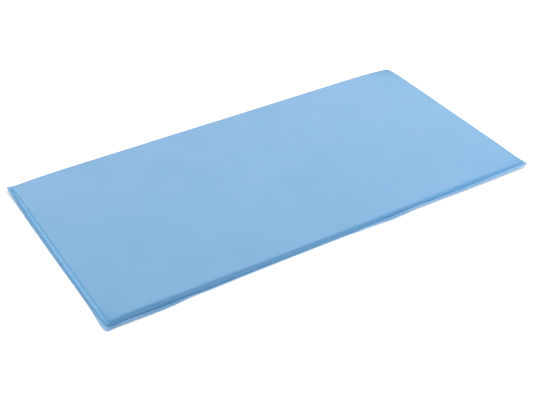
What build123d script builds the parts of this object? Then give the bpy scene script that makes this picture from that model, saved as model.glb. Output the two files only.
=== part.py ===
from build123d import *
import os

# Padded floor mat: a flat foam slab sealed between two vinyl sheets.
# The top sheet is formed over the foam as a shallow upside-down tray with a flange round its foot.
# The base sheet is flat, and is heat-welded to the underside of that flange.
# Frame: origin on the floor at the middle of the underside, +X along the length, +Y across, +Z up.

# Driving dimensions, in millimetres
PAD_LENGTH = 1200.0        # outside of the formed tray, along X
PAD_WIDTH = 600.0          # outside of the formed tray, along Y
FLANGE_WIDTH = 9.0         # welded flange, out from the foot of the tray's wall
THICKNESS = 20.0           # floor to the top face
SHEET = 0.6                # vinyl sheet, top and base alike
FOAM_CLEARANCE = 0.3       # air between the foam and the tray's walls and top
PAD_CORNER_RADIUS = 14.0   # tray's upright corners, seen from above
FLANGE_CORNER_RADIUS = 9.0
TOP_EDGE_RADIUS = 7.0      # tray's rounded top edge
FOOT_RADIUS = 1.2          # crease where the wall turns out into the flange

# Sizes that follow from them
FLANGE_LENGTH = PAD_LENGTH + 2 * FLANGE_WIDTH
FLANGE_SPAN = PAD_WIDTH + 2 * FLANGE_WIDTH
WELD_HEIGHT = SHEET        # plane where the two sheets are fused
FLANGE_TOP = 2 * SHEET


def rounded_slab(length, width, corner_radius, low, high):
    """A flat slab with rounded upright corners, from height low to height high."""
    outline = Plane.XY.offset(low) * RectangleRounded(length, width, corner_radius)
    return extrude(outline, high - low)


def soften_top(slab, radius):
    """The slab with its top edge rounded all the way round."""
    rim = slab.faces().sort_by(Axis.Z)[-1].edges()
    return fillet(rim, radius)


def inset_pad(inset):
    """The pad's rounded block, drawn in by the inset on every side but its foot."""
    slab = rounded_slab(
        PAD_LENGTH - 2 * inset,
        PAD_WIDTH - 2 * inset,
        PAD_CORNER_RADIUS - inset,
        WELD_HEIGHT,
        THICKNESS - inset,
    )
    return soften_top(slab, TOP_EDGE_RADIUS - inset)


def top_cover():
    """Formed top sheet: top face, rounded edge, side walls and the flange at their foot."""
    flange = rounded_slab(FLANGE_LENGTH, FLANGE_SPAN, FLANGE_CORNER_RADIUS, WELD_HEIGHT, FLANGE_TOP)
    solid = flange + inset_pad(0)
    crease = (
        solid.edges()
        .filter_by_position(Axis.Z, FLANGE_TOP - SHEET / 4, FLANGE_TOP + SHEET / 4)
        .sort_by(SortBy.DISTANCE)
    )
    foot = [edge for edge in crease if on_pad_wall(edge)]
    solid = fillet(foot, FOOT_RADIUS)
    return solid - inset_pad(SHEET)


def on_pad_wall(edge):
    """True for an edge that lies on the foot of the tray's wall, not on the flange's rim."""
    middle = edge @ 0.5
    within_length = abs(middle.X) < PAD_LENGTH / 2 + FOOT_RADIUS
    within_width = abs(middle.Y) < PAD_WIDTH / 2 + FOOT_RADIUS
    return within_length and within_width


def base_cover():
    """Flat base sheet that lies on the floor, as large as the flange."""
    return rounded_slab(FLANGE_LENGTH, FLANGE_SPAN, FLANGE_CORNER_RADIUS, 0, WELD_HEIGHT)


def foam_core():
    """Foam slab that rests on the base sheet and fills the tray."""
    return inset_pad(SHEET + FOAM_CLEARANCE)


def main():
    os.makedirs("parts", exist_ok=True)
    makers = {"top_cover": top_cover, "base_cover": base_cover, "foam_core": foam_core}
    for name, make in makers.items():
        piece = make()
        piece.label = name
        export_step(piece, f"parts/{name}.step")


main()
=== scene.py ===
import math

import bpy
import numpy as np
from mathutils import Matrix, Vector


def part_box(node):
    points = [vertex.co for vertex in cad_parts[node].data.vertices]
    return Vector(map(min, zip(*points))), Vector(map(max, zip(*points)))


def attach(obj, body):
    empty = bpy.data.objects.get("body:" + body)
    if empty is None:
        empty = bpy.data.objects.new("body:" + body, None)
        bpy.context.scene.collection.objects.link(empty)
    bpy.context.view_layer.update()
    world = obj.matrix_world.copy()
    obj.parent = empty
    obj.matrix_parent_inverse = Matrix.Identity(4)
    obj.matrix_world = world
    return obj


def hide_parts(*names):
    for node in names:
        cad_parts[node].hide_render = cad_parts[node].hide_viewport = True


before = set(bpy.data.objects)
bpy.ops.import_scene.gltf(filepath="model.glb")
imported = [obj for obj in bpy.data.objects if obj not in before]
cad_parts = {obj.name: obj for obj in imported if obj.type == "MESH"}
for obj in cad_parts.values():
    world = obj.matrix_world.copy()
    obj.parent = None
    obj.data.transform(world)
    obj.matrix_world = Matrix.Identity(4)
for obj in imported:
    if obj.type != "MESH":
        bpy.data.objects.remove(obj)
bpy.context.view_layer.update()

# Looks of a padded floor mat: a foam slab sealed between a formed vinyl sheet and a flat one.
# Lengths are in metres. The mat lies on the floor, z = 0, with its length along X.
#
# Each sheet is a flat grid of points (u, v) that is laid over the foam. q is the length of sheet
# from the start of the edge zone outwards: over the shoulder, the rounded edge, the wall and its
# foot, and along the welded flange to the rim. "distance" runs round the mat, anticlockwise seen
# from above, from the front left corner.

MM = 0.001

# ---------------------------------------------------------------- sizes, from the frame
_, flange_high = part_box("top_cover")
FLANGE = 9 * MM                         # welded flange, out from the wall's foot
SHEET = 0.6 * MM                        # each vinyl sheet
FOAM_GAP = 0.5 * MM                     # between the foam and each sheet
SHELL = 0.98 * SHEET                    # as modelled: the two welded sheets don't share a face
HALF_X = flange_high.x - FLANGE         # the wall, seen from above
HALF_Y = flange_high.y - FLANGE
TOP = flange_high.z
SEAM = 2 * SHEET                        # top of the flange where it lies flat

# Section of the edge, from the top face out to the flange's rim
ZONE = 62 * MM                          # edge zone, measured in from the wall
EDGE_RADIUS = 4.2 * MM
LEAST_EDGE_RADIUS = 2.5 * MM            # where the wall is low
FOOT_RADIUS = 0.8 * MM
WALL_LENGTH = TOP - EDGE_RADIUS - FOOT_RADIUS - SEAM
# Upright corner of the wall and corner of the flange's rim, by the sides they lie on
CORNERS = {
    (-1, -1): (12 * MM, 8 * MM),
    (1, -1): (9 * MM, 11 * MM),
    (1, 1): (11 * MM, 11 * MM),
    (-1, 1): (8 * MM, 6 * MM),
}
FOLD_RADIUS = 1.3 * MM                  # where the flange is tucked under the mat
FOLD_CLEARANCE = 0.1 * MM               # between the tucked flange and the floor
WALL_BULGE = 0.9 * MM                   # how far the middle of the wall stands out
CROWN = 0.7 * MM                        # how much higher the middle of the top face is
UNEVEN = 0.5 * MM                       # scale of the foam's hills and hollows
FLOOR_GAP = 0.05 * MM                   # the flange stays this much over its lowest place
FILL_CENTRE = 0.8 * MM                  # where the crease is rounded out, past the wall's end
FILL_WIDTH = 2.6 * MM
FILL_SHARE = 0.7                        # how much of the fill goes out, and how much goes up

# The skin starts this much lower over the foam, and the cloth simulation blows it up again
SWELL = 1.0 * MM
LARGEST_MOVE = 3.0 * MM                 # no point moves as far as this
FOAM_HOLD = 0.22                        # how firmly the foam holds the skin, of 1 at the seam
CLOTH_FRAMES = 20

# Spacing of each grid over the middle of the mat
SKIN_SPACING = 7 * MM
BASE_SPACING = 10 * MM
FOAM_SPACING = 12 * MM
CLOTH_SPACING = 6 * MM

# Material length at which each part of the section ends
Q_SHOULDER = ZONE - EDGE_RADIUS
Q_EDGE = Q_SHOULDER + EDGE_RADIUS * math.pi / 2
Q_WALL = Q_EDGE + WALL_LENGTH
Q_FOOT = Q_WALL + FOOT_RADIUS * math.pi / 2
Q_RIM = Q_FOOT + FLANGE - FOOT_RADIUS

PERIMETER = 4 * (HALF_X + HALF_Y)
FRONT_RIGHT = 2 * HALF_X                # distance round the mat to each corner, from the front left
BACK_RIGHT = FRONT_RIGHT + 2 * HALF_Y
BACK_LEFT = BACK_RIGHT + 2 * HALF_X


def smoothstep(t):
    """Eases from 0 to 1 as t goes from 0 to 1."""
    return t * t * (3 - 2 * t)


# ---------------------------------------------------------------- how the seam lies round the mat
def round_the_mat(points, smooth):
    """A smooth closed curve through (distance in mm, value in mm), as a function of distance."""
    step = 2 * MM
    count = int(round(PERIMETER / step))
    grid = np.arange(count) * PERIMETER / count
    places = np.array([place for place, _ in points]) * MM
    values = np.array([value for _, value in points]) * MM
    table = np.interp(grid, places, values, period=PERIMETER)
    spread = np.fft.rfftfreq(count, PERIMETER / count)
    blurred = np.fft.irfft(np.fft.rfft(table) * np.exp(-2 * (math.pi * spread * smooth) ** 2), count)
    return lambda distance: np.interp(distance, grid, blurred, period=PERIMETER)


# Width of flange that shows before it tucks under: all of it, but for the middle of the front side
visible_flange = round_the_mat(
    [(0, 9.4), (130, 9.4), (150, 9.0), (176, 6.4), (200, 3.9), (228, 3.0), (250, 3.1), (290, 3.1),
     (350, 2.3), (630, 2.1), (668, 4.0), (728, 6.0), (775, 9.2), (800, 8.4), (822, 6.4), (870, 6.4),
     (917, 6.2), (982, 7.6), (1050, 8.8), (1080, 9.4)],
    8 * MM,
)
# Height of the crease at the wall's foot, which lifts where the flange isn't flat on the floor
crease_height = round_the_mat(
    [(0, 4.2), (27, 6.6), (60, 6.0), (88, 4.2), (124, 3.4), (174, 3.2), (230, 3.0), (640, 3.0),
     (728, 3.6), (770, 4.4), (800, 5.8), (840, 7.0), (917, 6.2), (982, 6.8), (1050, 7.9), (1100, 8.9),
     (1135, 9.4), (1175, 10.0), (1200, 11.5), (1225, 9.2), (1260, 4.6), (1330, 2.2), (1420, 1.4),
     (1700, 1.4), (1770, 3.0), (1800, 5.4), (1840, 3.0), (1920, 1.6), (2300, 1.8), (2600, 1.2),
     (2900, 1.6), (2960, 3.6), (2990, 5.5), (3000, 12.5), (3010, 8.0), (3030, 5.0), (3080, 2.6),
     (3160, 1.4), (3460, 1.3), (3540, 2.4), (3580, 4.2)],
    6 * MM,
)
# Lift of the rim over the crease: up at the ears of the corners, down where the crease is high
rim_lift = round_the_mat(
    [(0, -1.0), (27, -2.3), (56, -2.4), (88, -1.8), (124, -1.8), (174, -1.2), (230, 0), (700, 0),
     (790, -0.9), (852, -1.4), (982, -1.3), (1050, -1.9), (1100, -3.0), (1135, -3.0), (1170, -2.0),
     (1200, -0.6), (1225, -0.6), (1300, 0), (1780, 0), (1800, 0.6), (1830, 0), (2960, 0), (3000, 1.2),
     (3035, 0), (3500, 0), (3570, -1.5)],
    6 * MM,
)
# How far the rim strays in or out of its line
rim_wave = round_the_mat(
    [(0, -1.6), (27, -3.0), (60, -1.6), (90, -0.9), (165, -0.9), (240, 0), (770, 0), (790, -1.0),
     (852, -1.8), (982, -1.4), (1050, -1.8), (1100, -1.2), (1135, -0.8), (1180, 0), (1200, 0),
     (1220, -0.2), (1330, 0.9), (1480, -0.7), (1600, 0.5), (1720, -0.4), (1800, 0), (1980, -0.8),
     (2150, 0.9), (2350, -0.4), (2520, 0.8), (2700, -0.9), (2860, 0.5), (3000, 0), (3060, -1.1),
     (3130, -1.9), (3260, -2.6), (3360, -3.2), (3440, -4.3), (3510, -3.6), (3560, -0.5), (3585, 1.2)],
    6 * MM,
)
# How far the wall's foot stands out over its even line
wall_out = round_the_mat(
    [(0, 1.0), (20, 0.6), (60, 0), (140, 0), (180, -0.8), (260, 0), (300, -0.8), (500, -1.3),
     (640, -0.9), (760, -0.9), (830, -1.2), (1000, -0.4), (1080, -0.8), (1135, -1.5), (1180, -1.5),
     (1220, -0.8), (1350, 0.5), (1500, 0.4), (1650, 0.6), (1800, 0), (2000, 0.6), (2300, 0.8),
     (2650, 0.5), (2850, 0.6), (3000, -0.5), (3060, 1.3), (3150, 2.9), (3300, 3.1), (3450, 2.8),
     (3570, 1.6)],
    14 * MM,
)
# How much the crease between wall and flange is rounded out
crease_fill = round_the_mat(
    [(0, 0.6), (30, 0.2), (600, 0.3), (720, 0.8), (1150, 0.8), (1230, 0.5), (1770, 0.5), (1830, 0.4),
     (2970, 0.5), (3040, 1.4), (3560, 1.4)],
    12 * MM,
)
# How much higher the top face stands along its edges than the sheet's even thickness
edge_rise = round_the_mat(
    [(0, 0), (50, 1.0), (100, 1.6), (150, 1.3), (200, 0.6), (280, 1.1), (400, 0.8), (560, 0.4),
     (800, 0.5), (1000, 0.6), (1150, 0), (1250, -0.6), (1450, -0.9), (1600, -0.6), (1760, -0.6),
     (1820, 0), (3600, 0)],
    16 * MM,
)
# By the sides a corner lies on: how deep its top sinks, and how far in along X and Y, in mm
CORNER_SINKS = {
    (-1, -1): (3.6, 26, 30),
    (1, -1): (3.1, 70, 55),
    (1, 1): (5.4, 52, 30),
    (-1, 1): (4.6, 70, 34),
}


def corner_droop(x, y):
    """How far the top face sinks towards each corner, where the seam pulls the foam down."""
    total = np.zeros_like(x)
    for (side_x, side_y), (depth, reach_x, reach_y) in CORNER_SINKS.items():
        away_x = np.clip(HALF_X - side_x * x, 0, None) / (reach_x * MM)
        away_y = np.clip(HALF_Y - side_y * y, 0, None) / (reach_y * MM)
        total += depth * MM * np.exp(-(away_x**1.5 + away_y**1.5))
    return total


def foam_unevenness(x, y):
    """Slow hills and hollows of the foam: waves by their turns per metre in X and Y, and phase."""
    waves = [(2.1, 1.3, 0.4), (3.7, -2.2, 1.9), (-1.6, 4.1, 3.1), (5.2, 3.4, 5.0), (7.9, -6.3, 0.8)]
    total = np.zeros_like(x)
    for across, along, phase in waves:
        total += np.sin(2 * math.pi * (across * x + along * y) + phase) / (abs(across) + abs(along))
    return UNEVEN * total


def crown(x, y):
    """The top face is a little higher in the middle than along its edges."""
    fall = (1 - (x / HALF_X) ** 6) * (1 - (y / HALF_Y) ** 4)
    return CROWN * np.clip(fall, 0, 1)


def puckers(distance):
    """Short upright folds of the wall beside each corner, where the flat sheet has cloth to spare."""
    folds = [                           # place from the corner, how far out, half width, in mm
        (-34, -0.30, 7), (-19, 0.55, 5), (-8, -0.75, 4), (2, 0.50, 4),
        (11, -0.80, 4.5), (22, 0.50, 6), (37, -0.25, 8),
    ]
    shift = 1.5                         # the folds of each next corner lie this much further on
    total = np.zeros_like(distance)
    for number, corner in enumerate((0, FRONT_RIGHT, BACK_RIGHT, BACK_LEFT)):
        for place, depth, width in folds:
            at = corner + (place * (1 if number % 2 else -1) + shift * number) * MM
            gap = (distance - at + PERIMETER / 2) % PERIMETER - PERIMETER / 2
            total += depth * MM * np.exp(-((gap / (width * MM)) ** 2))
    return total


# ---------------------------------------------------------------- the section of the edge
def ring_offset(q):
    """How far out from the wall a material length lies on an even, flat-flanged section."""
    on_shoulder = q - ZONE
    on_edge = -EDGE_RADIUS + EDGE_RADIUS * np.sin(np.clip((q - Q_SHOULDER) / EDGE_RADIUS, 0, math.pi / 2))
    on_foot = FOOT_RADIUS * (1 - np.cos(np.clip((q - Q_WALL) / FOOT_RADIUS, 0, math.pi / 2)))
    on_flange = FOOT_RADIUS + q - Q_FOOT
    return np.select([q < Q_SHOULDER, q < Q_WALL, q < Q_FOOT], [on_shoulder, on_edge, on_foot], on_flange)


def ring_corner(u, v, offset):
    """Corner radius of the ring at this offset from the wall."""
    radius = np.zeros_like(offset)
    for (side_x, side_y), (wall, rim) in CORNERS.items():
        here = (u * side_x >= 0) & (v * side_y >= 0)
        radius = np.where(here & (offset < 0), np.clip(wall + offset, 0, None), radius)
        radius = np.where(here & (offset >= 0), wall + (rim - wall) * offset / FLANGE, radius)
    return radius


def lay_out(u, v):
    """Plan place, outward direction, distance round the mat and q of each point of the flat sheet.

    Each q makes a ring round the mat, a rectangle with rounded corners. A corner of the sheet's grid
    is shared between the two sides, half of the corner's arc to each."""
    flat_x, flat_y = HALF_X - ZONE, HALF_Y - ZONE
    over_x = np.clip(np.abs(u) - flat_x, 0, None)
    over_y = np.clip(np.abs(v) - flat_y, 0, None)
    q = np.maximum(over_x, over_y)
    offset = ring_offset(q)
    reach = ZONE + offset
    corner = ring_corner(u, v, offset)
    share = np.minimum(over_x, over_y) / np.maximum(q, 1e-9)
    run = share * (reach - corner + corner * math.pi / 4)
    turn = np.clip((run - (reach - corner)) / np.maximum(corner, 1e-9), 0, math.pi / 4)
    straight = np.minimum(run, reach - corner)
    near = np.where(turn > 0, reach - corner + corner * np.cos(turn), reach)
    far = np.where(turn > 0, reach - corner + corner * np.sin(turn), straight)
    x_side = over_x >= over_y
    out_x = np.where(x_side, near, far)
    out_y = np.where(x_side, far, near)
    inside = q <= 0
    x = np.where(inside, u, np.sign(u) * (np.where(over_x > 0, flat_x + out_x, np.abs(u))))
    y = np.where(inside, v, np.sign(v) * (np.where(over_y > 0, flat_y + out_y, np.abs(v))))
    normal_x = np.sign(u) * np.where(x_side, np.cos(turn), np.sin(turn))
    normal_y = np.sign(v) * np.where(x_side, np.sin(turn), np.cos(turn))
    normal_x = np.where(over_x > 0, normal_x, 0)
    normal_y = np.where(over_y > 0, normal_y, 0)
    along_x = np.where(over_x > 0, np.sign(u) * (HALF_X - ZONE * (1 - share)), u)
    along_y = np.where(over_y > 0, np.sign(v) * (HALF_Y - ZONE * (1 - share)), v)
    distance = np.select(
        [x_side & (u > 0), x_side, v > 0],
        [FRONT_RIGHT + HALF_Y + along_y, BACK_LEFT + HALF_Y - along_y, BACK_RIGHT + HALF_X - along_x],
        HALF_X + along_x,
    )
    return x, y, normal_x, normal_y, distance % PERIMETER, q


def weld_emboss(f):
    """Height of the pressed weld over the flange's face, f out from the crease."""
    inner_step, outer_step, step_width = 1.4 * MM, 5.4 * MM, 0.25 * MM
    inner_bead, outer_bead, bead_width = 1.0 * MM, 5.9 * MM, 0.4 * MM
    depth, bead_height = 0.16 * MM, 0.10 * MM
    pressed = 0.5 * (np.tanh((f - inner_step) / step_width) - np.tanh((f - outer_step) / step_width))
    bead = np.exp(-(((f - inner_bead) / bead_width) ** 2)) + np.exp(-(((f - outer_bead) / bead_width) ** 2))
    return -depth * pressed + bead_height * bead


def edge_section(x, y, distance, q, swell):
    """Offset from the wall, height and slope of the skin's outside at each point of the edge zone."""
    on_x, on_y = np.clip(x, -HALF_X, HALF_X), np.clip(y, -HALF_Y, HALF_Y)
    top = TOP - swell * SWELL - corner_droop(on_x, on_y) + crown(on_x, on_y) + foam_unevenness(x, y)
    top = top + edge_rise(distance) * smoothstep(np.clip(q / Q_SHOULDER, 0, 1))
    # how much of the flange is left to tuck under, and how high that holds the crease
    shown = visible_flange(distance)
    spare = FLANGE - FOOT_RADIUS - np.clip(shown - FOOT_RADIUS - FOLD_RADIUS, 0, None)
    folded = np.clip(spare / FOLD_RADIUS, 0, math.pi)
    folded = np.where(shown >= FLANGE, 0, folded)
    needed = np.maximum(SEAM, FOLD_RADIUS * (1 - np.cos(folded)) + FOLD_CLEARANCE)
    crease = np.maximum(crease_height(distance), needed)
    radius = np.clip((top - crease - FOOT_RADIUS) / 2, LEAST_EDGE_RADIUS, EDGE_RADIUS)

    # shoulder and rounded edge
    t = np.clip((q - Q_SHOULDER) / (Q_EDGE - Q_SHOULDER), 0, 1) * math.pi / 2
    edge_offset = np.minimum(q - ZONE, -EDGE_RADIUS) + EDGE_RADIUS * np.sin(t)
    edge_height = top - radius * (1 - np.cos(t))
    # wall
    w = np.clip((q - Q_EDGE) / WALL_LENGTH, 0, 1)
    wall_top, wall_foot = top - radius, crease + FOOT_RADIUS
    bulge = WALL_BULGE * np.sin(math.pi * w)
    fold_start, fold_fade = 0.15, 1.2   # the folds are deepest a little over half way up
    fold_way = np.clip(fold_start + (1 - fold_start) * w, 0, 1)
    fold_depth = puckers(distance) * np.sin(math.pi * fold_way) ** fold_fade
    wall_offset = bulge + fold_depth
    wall_height = wall_top + (wall_foot - wall_top) * w
    # foot
    s = np.clip((q - Q_WALL) / (Q_FOOT - Q_WALL), 0, 1) * math.pi / 2
    foot_offset = FOOT_RADIUS * (1 - np.cos(s))
    foot_height = wall_foot - FOOT_RADIUS * np.sin(s)
    # flange, straight out, then tucked under itself
    f = np.clip(q - Q_FOOT, 0, None)
    straight = np.where(folded > 0, np.clip(shown - FOOT_RADIUS - FOLD_RADIUS, 0, None), 2 * FLANGE)
    bend = np.clip((f - straight) / FOLD_RADIUS, 0, math.pi)
    back = np.clip(f - straight - math.pi * FOLD_RADIUS, 0, None)
    reach = np.minimum(f, straight) + FOLD_RADIUS * np.sin(bend) - back
    lift = rim_lift(distance) * (np.minimum(f, FLANGE) / FLANGE) ** 1.5
    flange_offset = FOOT_RADIUS + reach * (1 + rim_wave(distance) / FLANGE)
    flange_height = crease - FOLD_RADIUS * (1 - np.cos(bend)) + lift + weld_emboss(f)
    # neither sheet goes through the floor, whichever of them lies below
    flange_height = np.maximum(flange_height, SEAM * (1 + np.cos(bend)) / 2 + FLOOR_GAP)

    parts = [q < Q_EDGE, q < Q_WALL, q < Q_FOOT]
    offset = np.select(parts, [edge_offset, wall_offset, foot_offset], flange_offset)
    height = np.select(parts, [edge_height, wall_height, foot_height], flange_height)
    # the wall leans out as a whole, from nothing on the shoulder to all of it at the foot
    lean = smoothstep(np.clip((q - Q_SHOULDER) / (Q_WALL - Q_SHOULDER), 0, 1))
    offset = offset + wall_out(distance) * lean
    fill = FILL_SHARE * crease_fill(distance) * np.exp(-(((q - Q_WALL - FILL_CENTRE) / FILL_WIDTH) ** 2))
    offset, height = offset + fill, height + fill
    wall_slope = math.pi / 2 - np.arctan(WALL_BULGE * math.pi * np.cos(math.pi * w) / WALL_LENGTH)
    slope = np.select(parts, [t, wall_slope, math.pi / 2 - s], bend)
    return offset, height, slope


def skin_points(u, v, inset=0.0, swell=0.0, moved=None):
    """Places in the row frame of points (u, v) of the formed sheet, inset from its outside.

    swell is 1 for the skin before it is blown up, and moved is what that adds."""
    x, y, normal_x, normal_y, distance, q = lay_out(u, v)
    offset, height, slope = edge_section(x, y, distance, q, swell)
    shift = np.where(q > 0, offset - ring_offset(q), 0)
    slope = np.where(q > 0, slope, 0)
    out = shift - inset * np.sin(slope)
    places = np.stack([x + normal_x * out, y + normal_y * out, height - inset * np.cos(slope)], -1)
    if moved is not None:
        places = places + moved
    return places


# ---------------------------------------------------------------- grids of the flat sheet
def graded(stops):
    """Material lengths from 0 through (end, count) stretches."""
    lengths = [0.0]
    for end, count in stops:
        lengths += list(np.linspace(lengths[-1], end, count + 1)[1:])
    return np.array(lengths)


def sheet_lines(half, spacing, rings):
    """Coordinates of the grid's lines across the sheet: even in the middle, by ring at each end."""
    middle = half - ZONE
    count = int(round(2 * middle / spacing))
    inner = np.linspace(-middle, middle, count + 1)
    outer = middle + rings[1:]
    return np.concatenate([-outer[::-1], inner, outer])


def grid_faces(columns, rows, start=0, flip=False):
    """Quads of a grid whose points run row by row."""
    i, j = np.meshgrid(np.arange(columns - 1), np.arange(rows - 1), indexing="ij")
    a = (j * columns + i).ravel() + start
    quads = np.stack([a, a + 1, a + 1 + columns, a + columns], -1)
    return quads[:, ::-1] if flip else quads


def border_loop(columns, rows):
    """Indices of the grid's outline, anticlockwise from the first point."""
    bottom = np.arange(columns - 1)
    right = np.arange(rows - 1) * columns + columns - 1
    top = (rows - 1) * columns + np.arange(columns - 1, 0, -1)
    left = np.arange(rows - 1, 0, -1) * columns
    return np.concatenate([bottom, right, top, left])


def make_object(name, points, quads, weld=None):
    """A smooth-shaded object of quads; weld is how much of the pressed weld each point has, which the vinyl
    paints paler as a painted highlight.
    """
    mesh = bpy.data.meshes.new(name)
    mesh.from_pydata(points.tolist(), [], quads.tolist())
    mesh.validate()
    if weld is not None:
        mesh.attributes.new("weld", "FLOAT", "POINT").data.foreach_set("value", weld)
    for polygon in mesh.polygons:
        polygon.use_smooth = True
    piece = bpy.data.objects.new(name, mesh)
    bpy.context.scene.collection.objects.link(piece)
    return piece


def flange_highlight_share(u, v):
    """1 on the pressed weld of the flange, 0 elsewhere: where the vinyl paints a paler tone as a painted
    highlight.
    """
    over_x = np.abs(u) - (HALF_X - ZONE)
    over_y = np.abs(v) - (HALF_Y - ZONE)
    out = np.maximum(over_x, over_y) - Q_FOOT
    start, width = -0.4 * MM, 1.0 * MM
    return smoothstep(np.clip((out - start) / width, 0, 1)).ravel()


def closed_shell(name, outside, inside, u, v, facing_up):
    """A closed solid between two grids of points, joined along their outline."""
    rows, columns = u.shape
    count = columns * rows
    weld = flange_highlight_share(u, v)
    border = border_loop(columns, rows)
    after = np.roll(border, -1)
    rim = np.stack([border, border + count, after + count, after], -1)
    outer = grid_faces(columns, rows, 0, flip=not facing_up)
    inner = grid_faces(columns, rows, count, flip=facing_up)
    rim = rim if facing_up else rim[:, ::-1]
    points = np.concatenate([outside.reshape(-1, 3), inside.reshape(-1, 3)])
    return make_object(name, points, np.concatenate([outer, inner, rim]), np.concatenate([weld, weld]))


# Rings of each sheet, as (where a stretch ends, how many rings it has); close ones at the weld's steps
FLANGE_RINGS = [
    (Q_FOOT + 0.7 * MM, 1),
    (Q_FOOT + 1.9 * MM, 4),
    (Q_FOOT + 5.0 * MM, 3),
    (Q_FOOT + 6.3 * MM, 4),
    (Q_RIM, 2),
]
SKIN_RINGS = graded(
    [(24 * MM, 3), (42 * MM, 4), (Q_SHOULDER, 4), (Q_EDGE, 7), (Q_WALL, 6), (Q_FOOT, 3)] + FLANGE_RINGS
)
# The base sheet's rings skip the wall: the same outline with nothing between shoulder and foot
BASE_RINGS = np.concatenate(
    [graded([(30 * MM, 2), (Q_SHOULDER, 5)]), graded([(Q_FOOT, 1)] + FLANGE_RINGS)[1:]]
)
FOAM_RINGS = graded([(24 * MM, 2), (42 * MM, 3), (Q_SHOULDER, 3), (Q_EDGE, 4), (Q_WALL, 4)])
CLOTH_RINGS = graded([(Q_WALL, 15), (Q_FOOT, 1), (Q_RIM, 1)])


# ---------------------------------------------------------------- cloth simulation of the skin
def cubic_weights(fine, coarse):
    """Catmull-Rom weights that carry values at the coarse lines to the fine ones."""
    weights = np.zeros((len(fine), len(coarse)))
    cell = np.clip(np.searchsorted(coarse, fine, side="right") - 1, 0, len(coarse) - 2)
    t = (fine - coarse[cell]) / (coarse[cell + 1] - coarse[cell])
    terms = [
        -0.5 * t**3 + t**2 - 0.5 * t,
        1.5 * t**3 - 2.5 * t**2 + 1,
        -1.5 * t**3 + 2 * t**2 + 0.5 * t,
        0.5 * t**3 - 0.5 * t**2,
    ]
    rows = np.arange(len(fine))
    for step, term in zip((-1, 0, 1, 2), terms):
        np.add.at(weights, (rows, np.clip(cell + step, 0, len(coarse) - 1)), term)
    return weights


def blow_up(proxy):
    """Runs the cloth simulation on the skin's stand-in, and returns where its points end."""
    cloth = proxy.modifiers.new("cloth", "CLOTH")
    settings = cloth.settings
    settings.quality = 6
    settings.mass = 0.4
    settings.tension_stiffness = 30
    settings.compression_stiffness = 30
    settings.shear_stiffness = 12
    settings.bending_stiffness = 2
    settings.use_pressure = True
    settings.uniform_pressure_force = 4
    settings.vertex_group_mass = "seam"
    settings.effector_weights.gravity = 0
    cloth.collision_settings.use_collision = False
    scene = bpy.context.scene
    cloth.point_cache.frame_start, cloth.point_cache.frame_end = 1, CLOTH_FRAMES
    for number in range(1, CLOTH_FRAMES + 1):
        scene.frame_set(number)
    evaluated = proxy.evaluated_get(bpy.context.evaluated_depsgraph_get())
    ended = np.zeros(len(proxy.data.vertices) * 3)
    evaluated.data.vertices.foreach_get("co", ended)
    scene.frame_set(1)
    return ended


def simulated_movement(u_lines, v_lines):
    """Runs the skin as cloth, blown up from inside with its seam held, and returns how far each
    point of the grid of lines moves, capped."""
    coarse_u = sheet_lines(HALF_X, CLOTH_SPACING, CLOTH_RINGS)
    coarse_v = sheet_lines(HALF_Y, CLOTH_SPACING, CLOTH_RINGS)
    u, v = np.meshgrid(coarse_u, coarse_v)
    start = skin_points(u, v, swell=1.0)
    proxy = make_object("skin_cloth", start.reshape(-1, 3), grid_faces(len(coarse_u), len(coarse_v)))
    held = proxy.vertex_groups.new(name="seam")
    over = np.maximum(np.abs(u) - (HALF_X - ZONE), np.abs(v) - (HALF_Y - ZONE)).ravel()
    rounding = 0.1 * MM
    held.add(list(range(len(over))), FOAM_HOLD, "REPLACE")
    held.add([int(n) for n in np.nonzero(over > Q_WALL - rounding)[0]], 1.0, "REPLACE")
    movement = blow_up(proxy).reshape(start.shape) - start
    bpy.data.objects.remove(proxy)

    size = np.linalg.norm(movement, axis=-1, keepdims=True)
    print("cloth moved at most %.1f mm, on average %.2f mm" % (size.max() / MM, size.mean() / MM))
    capped = movement * LARGEST_MOVE / (LARGEST_MOVE + size)
    to_u, to_v = cubic_weights(u_lines, coarse_u), cubic_weights(v_lines, coarse_v)
    return np.stack([to_v @ capped[..., axis] @ to_u.T for axis in range(3)], -1)


# ---------------------------------------------------------------- the three pieces
def top_cover():
    """Formed top sheet, with its rounded edge, walls and welded flange."""
    u_lines = sheet_lines(HALF_X, SKIN_SPACING, SKIN_RINGS)
    v_lines = sheet_lines(HALF_Y, SKIN_SPACING, SKIN_RINGS)
    u, v = np.meshgrid(u_lines, v_lines)
    swell, moved = 1.0, simulated_movement(u_lines, v_lines)
    outside = skin_points(u, v, swell=swell, moved=moved)
    inside = skin_points(u, v, inset=SHELL, swell=swell, moved=moved)
    return closed_shell("top_cover_skin", outside, inside, u, v, facing_up=True)


def underside_rise(q):
    """Share of the crease's height that the underside has, from none at half of the edge zone."""
    reach = np.clip((ZONE + ring_offset(q)) / (ZONE + FOOT_RADIUS), 0, 1)
    return smoothstep(np.clip(2 * reach - 1, 0, 1))


def base_points(u, v, inset):
    """Flat base sheet, which rises to the crease near the edge and follows the flange."""
    x, y, normal_x, normal_y, distance, q = lay_out(u, v)
    offset, height, slope = edge_section(x, y, distance, q, 0.0)
    on_flange = q >= Q_FOOT
    # on the flange the sheet lies under the top one
    depth = 2 * SHEET - inset
    shift = np.where(on_flange, offset - ring_offset(q), 0)
    out = shift - np.where(on_flange, depth * np.sin(slope), 0)
    crease_offset, crease_level, _ = edge_section(x, y, distance, np.full_like(q, Q_FOOT), 0.0)
    ramp = underside_rise(q)
    floor_level = (crease_level - SEAM) * ramp + inset
    lean = (crease_offset - FOOT_RADIUS) * ramp
    out = np.where(on_flange, out, np.where(q > 0, lean, 0))
    level = np.where(on_flange, height - depth * np.cos(slope), floor_level)
    return np.stack([x + normal_x * out, y + normal_y * out, level], -1)


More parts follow.
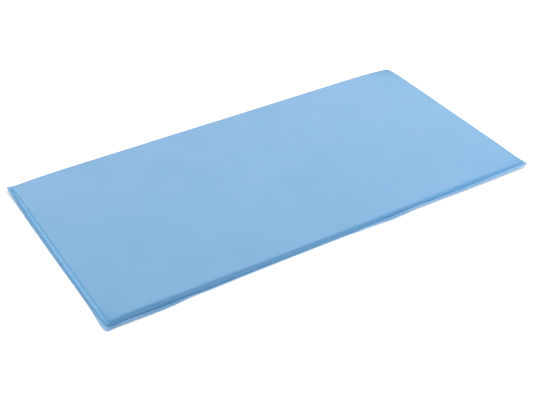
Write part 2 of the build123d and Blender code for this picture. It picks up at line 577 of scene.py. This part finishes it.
def base_cover():
    """Flat base sheet, welded to the underside of the flange."""
    u_lines = sheet_lines(HALF_X, BASE_SPACING, BASE_RINGS)
    v_lines = sheet_lines(HALF_Y, BASE_SPACING, BASE_RINGS)
    u, v = np.meshgrid(u_lines, v_lines)
    outside = base_points(u, v, 0.0)
    inside = base_points(u, v, SHELL)
    return closed_shell("base_cover_sheet", outside, inside, u, v, facing_up=False)


def foam_slab():
    """Foam slab inside the covers, rounded where the top cover is."""
    u_lines = sheet_lines(HALF_X, FOAM_SPACING, FOAM_RINGS)
    v_lines = sheet_lines(HALF_Y, FOAM_SPACING, FOAM_RINGS)
    u, v = np.meshgrid(u_lines, v_lines)
    upper = skin_points(u, v, inset=SHEET + FOAM_GAP, swell=1.0)
    lower = upper.copy()
    x, y, _, _, distance, q = lay_out(u, v)
    _, crease_level, _ = edge_section(x, y, distance, np.full_like(q, Q_FOOT), 0.0)
    lower[..., 2] = SHEET + FOAM_GAP + (crease_level - SEAM) * underside_rise(q)
    return closed_shell("foam_slab", upper, lower, u, v, facing_up=True)


# ---------------------------------------------------------------- materials
class Nodes:
    """Short words for building a node material."""

    def __init__(self, name):
        self.material = bpy.data.materials.new(name)
        self.material.use_nodes = True
        self.tree = self.material.node_tree
        self.tree.nodes.clear()
        self.output = self.add("ShaderNodeOutputMaterial")
        self.shader = self.add("ShaderNodeBsdfPrincipled")
        self.link(self.shader.outputs[0], self.output.inputs["Surface"])
        self.place = self.add("ShaderNodeTexCoord").outputs["Object"]

    def add(self, kind, **values):
        node = self.tree.nodes.new(kind)
        for key, value in values.items():
            if key in node.inputs:
                node.inputs[key].default_value = value
            else:
                setattr(node, key, value)
        return node

    def link(self, source, target):
        self.tree.links.new(source, target)

    def noise(self, scale, detail=3.0, roughness=0.55):
        node = self.add("ShaderNodeTexNoise", Scale=scale, Detail=detail, Roughness=roughness)
        self.link(self.place, node.inputs["Vector"])
        return node.outputs["Fac"]

    def cells(self, scale, smooth=False):
        node = self.add("ShaderNodeTexVoronoi", Scale=scale)
        node.feature = "SMOOTH_F1" if smooth else "F1"
        self.link(self.place, node.inputs["Vector"])
        return node.outputs["Distance"]

    def spread(self, value, low, high, to_low, to_high):
        node = self.add("ShaderNodeMapRange", clamp=True)
        node.inputs["From Min"].default_value = low
        node.inputs["From Max"].default_value = high
        node.inputs["To Min"].default_value = to_low
        node.inputs["To Max"].default_value = to_high
        self.link(value, node.inputs["Value"])
        return node.outputs["Result"]

    def mix(self, factor, first, second):
        node = self.add("ShaderNodeMix", data_type="RGBA")
        self.link(factor, node.inputs["Factor"])
        for value, socket in ((first, node.inputs[6]), (second, node.inputs[7])):
            if isinstance(value, tuple):
                socket.default_value = value
            else:
                self.link(value, socket)
        return node.outputs[2]

    def bump(self, height, distance, strength=1.0, below=None):
        node = self.add("ShaderNodeBump", Distance=distance, Strength=strength)
        self.link(height, node.inputs["Height"])
        if below is not None:
            self.link(below, node.inputs["Normal"])
        return node.outputs["Normal"]


def tinted(colour, share, added=0.0):
    """A colour times a share, plus as much of white."""
    return tuple(share * channel + added for channel in colour[:3]) + (1.0,)


def vinyl(name, colour, deeper, roughness, grain):
    """Smooth soft vinyl: fine leather-like grain, faint clouding, small changes of gloss, and a paler tone
    on the welded flange, which is a painted highlight.
    """
    n = Nodes(name)
    cloud = n.noise(3.2, detail=4.0)
    fine_cloud = n.noise(38.0, detail=2.0)
    tone = n.mix(n.spread(cloud, 0.35, 0.65, 0.0, 1.0), colour, deeper)
    speck = n.spread(fine_cloud, 0.3, 0.7, 0.0, 0.18)
    tone = n.mix(speck, tone, tinted(colour, 0.9))
    # painted highlight: the welded flange is painted paler, standing in for the light its rim catches
    weld = n.add("ShaderNodeAttribute")
    weld.attribute_name = "weld"
    tone = n.mix(weld.outputs["Fac"], tone, tinted(colour, 1.05, 0.07))
    n.link(tone, n.shader.inputs["Base Color"])
    # the gloss stays on one side of what the renderer's noise filter takes for a mirror
    gloss = n.noise(11.0, detail=3.0)
    n.link(n.spread(gloss, 0.3, 0.7, roughness - 0.03, roughness + 0.04), n.shader.inputs["Roughness"])
    n.shader.inputs["IOR"].default_value = 1.5
    pebbles = n.cells(900.0, smooth=True)
    pores = n.noise(2600.0, detail=2.0)
    dents = n.noise(60.0, detail=2.0)
    normal = n.bump(dents, 0.06 * MM, 0.4)
    normal = n.bump(pebbles, grain, 0.6, normal)
    normal = n.bump(pores, grain * 0.3, 0.5, normal)
    n.link(normal, n.shader.inputs["Normal"])
    return n.material


def open_foam(name, colour):
    """Open-cell foam: small round pores in two sizes, matt, with painted shade in the small pores' hollows.
    """
    n = Nodes(name)
    pores = n.cells(700.0)
    large = n.cells(260.0)
    # painted shade: each small pore is painted darker towards its middle, where the bump sinks it
    shade = n.spread(pores, 0.1, 0.6, 0.0, 1.0)
    n.link(n.mix(shade, tinted(colour, 0.72), colour), n.shader.inputs["Base Color"])
    n.shader.inputs["Roughness"].default_value = 0.95
    normal = n.bump(large, 0.5 * MM, 0.6)
    normal = n.bump(pores, 0.3 * MM, 0.8, normal)
    n.link(normal, n.shader.inputs["Normal"])
    return n.material


# ---------------------------------------------------------------- stage, light and camera
def stage():
    """A plain pale floor, wide enough to fill the view."""
    mesh = bpy.data.meshes.new("floor")
    half = 12.0
    corners = [(-half, -half, 0), (half, -half, 0), (half, half, 0), (-half, half, 0)]
    mesh.from_pydata(corners, [], [(0, 1, 2, 3)])
    floor = bpy.data.objects.new("floor", mesh)
    floor.location.z = -0.1 * MM
    bpy.context.scene.collection.objects.link(floor)
    n = Nodes("pale_floor")
    tone = n.spread(n.noise(1.5), 0.3, 0.7, 0.0, 1.0)
    n.link(n.mix(tone, (0.81, 0.81, 0.81, 1), (0.83, 0.83, 0.83, 1)), n.shader.inputs["Base Color"])
    n.shader.inputs["Roughness"].default_value = 0.9
    n.shader.inputs["Specular IOR Level"].default_value = 0.0
    n.shader.inputs["Emission Color"].default_value = (1, 1, 1, 1)
    n.shader.inputs["Emission Strength"].default_value = 0.25
    floor.data.materials.append(n.material)


def aim(thing, place, target):
    """Puts a light at a place and turns it to its target."""
    thing.location = place
    away = [b - a for a, b in zip(place, target)]
    direction = np.array(away) / np.linalg.norm(away)
    yaw = math.atan2(direction[0], direction[1])
    pitch = math.asin(direction[2])
    turn = Matrix.Rotation(-yaw, 3, "Z") @ Matrix.Rotation(math.pi / 2 + pitch, 3, "X")
    thing.rotation_euler = turn.to_euler()


def softbox(name, place, target, size, power, colour=(1, 1, 1), diffuse=True, glossy=True):
    """A rectangular light, which can be left out of either what it lights or what mirrors it."""
    light = bpy.data.lights.new(name, "AREA")
    light.shape = "RECTANGLE"
    light.size, light.size_y = size
    light.energy = power
    light.color = colour
    thing = bpy.data.objects.new(name, light)
    thing.visible_diffuse, thing.visible_glossy = diffuse, glossy
    bpy.context.scene.collection.objects.link(thing)
    aim(thing, place, target)


def lights():
    """Soft studio light: from above, from behind, and low from both visible sides."""
    softbox("overhead", (2.45, -0.80, 5.30), (0, 0, 0), size=(1.5, 1.1), power=215)
    # this one gives the top face its even sheen, by reflection
    softbox("behind", (1.5, 4.0, 3.50), (0, 0, 0.1), size=(7.6, 3.8), power=262)
    softbox("left_side", (-2.7, -0.10, 0.35), (-0.3, 0, 0), size=(0.8, 0.6), power=58,
            colour=(1.0, 0.86, 0.80), glossy=False)
    # the front wall's light is split, so that it isn't mirrored in the top face from low behind
    softbox("right_front", (1.9, -1.9, 0.5), (0.3, -0.3, 0), size=(0.9, 0.8), power=42,
            colour=(0.96, 0.97, 1.0), glossy=False)
    softbox("right_sheen", (2.1, -2.1, 1.5), (0.3, -0.3, 0), size=(1.7, 1.5), power=20, diffuse=False)
    world = bpy.data.worlds.new("studio")
    bpy.context.scene.world = world
    world.use_nodes = True
    sky = world.node_tree.nodes["Background"]
    sky.inputs["Color"].default_value = (0.90, 0.97, 1.0, 1)
    sky.inputs["Strength"].default_value = 0.27


CAMERA_PLACE = (-1.1669, -1.8738, 1.5357)
CAMERA_YAW = math.radians(31.56)        # turned right from looking along +Y
CAMERA_PITCH = math.radians(36.02)      # down from level
CAMERA_ROLL = math.radians(0.12)
CAMERA_LENS = 69.61


def camera():
    """The photograph's viewing angle."""
    data = bpy.data.cameras.new("camera")
    data.lens = CAMERA_LENS
    data.sensor_width = 36.0
    data.clip_start, data.clip_end = 0.05, 60.0
    thing = bpy.data.objects.new("camera", data)
    bpy.context.scene.collection.objects.link(thing)
    turn = Matrix.Rotation(-CAMERA_YAW, 4, "Z") @ Matrix.Rotation(math.pi / 2 - CAMERA_PITCH, 4, "X")
    thing.matrix_world = Matrix.Translation(CAMERA_PLACE) @ turn @ Matrix.Rotation(CAMERA_ROLL, 4, "Z")
    bpy.context.scene.camera = thing


# ---------------------------------------------------------------- putting it together
def main():
    """Builds the scene, puts each piece under the root body and hides the part of model.glb that it
    replaces.
    """
    camera()
    lights()
    stage()
    bpy.context.scene.view_settings.view_transform = "Standard"

    skin = top_cover()
    base = base_cover()
    foam = foam_slab()
    blue = (0.079, 0.250, 0.452, 1.0)
    deeper_blue = (0.075, 0.244, 0.444, 1.0)
    cream = (0.78, 0.74, 0.62, 1.0)
    skin.data.materials.append(vinyl("top_vinyl", blue, deeper_blue, roughness=0.32, grain=0.05 * MM))
    base.data.materials.append(vinyl("base_vinyl", deeper_blue, blue, roughness=0.5, grain=0.09 * MM))
    foam.data.materials.append(open_foam("core_foam", cream))
    for piece, node, slot in (
        (skin, "top_cover", "top_vinyl"),
        (base, "base_cover", "base_vinyl"),
        (foam, "foam_core", "foam"),
    ):
        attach(piece, "root")
        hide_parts(node)


main()
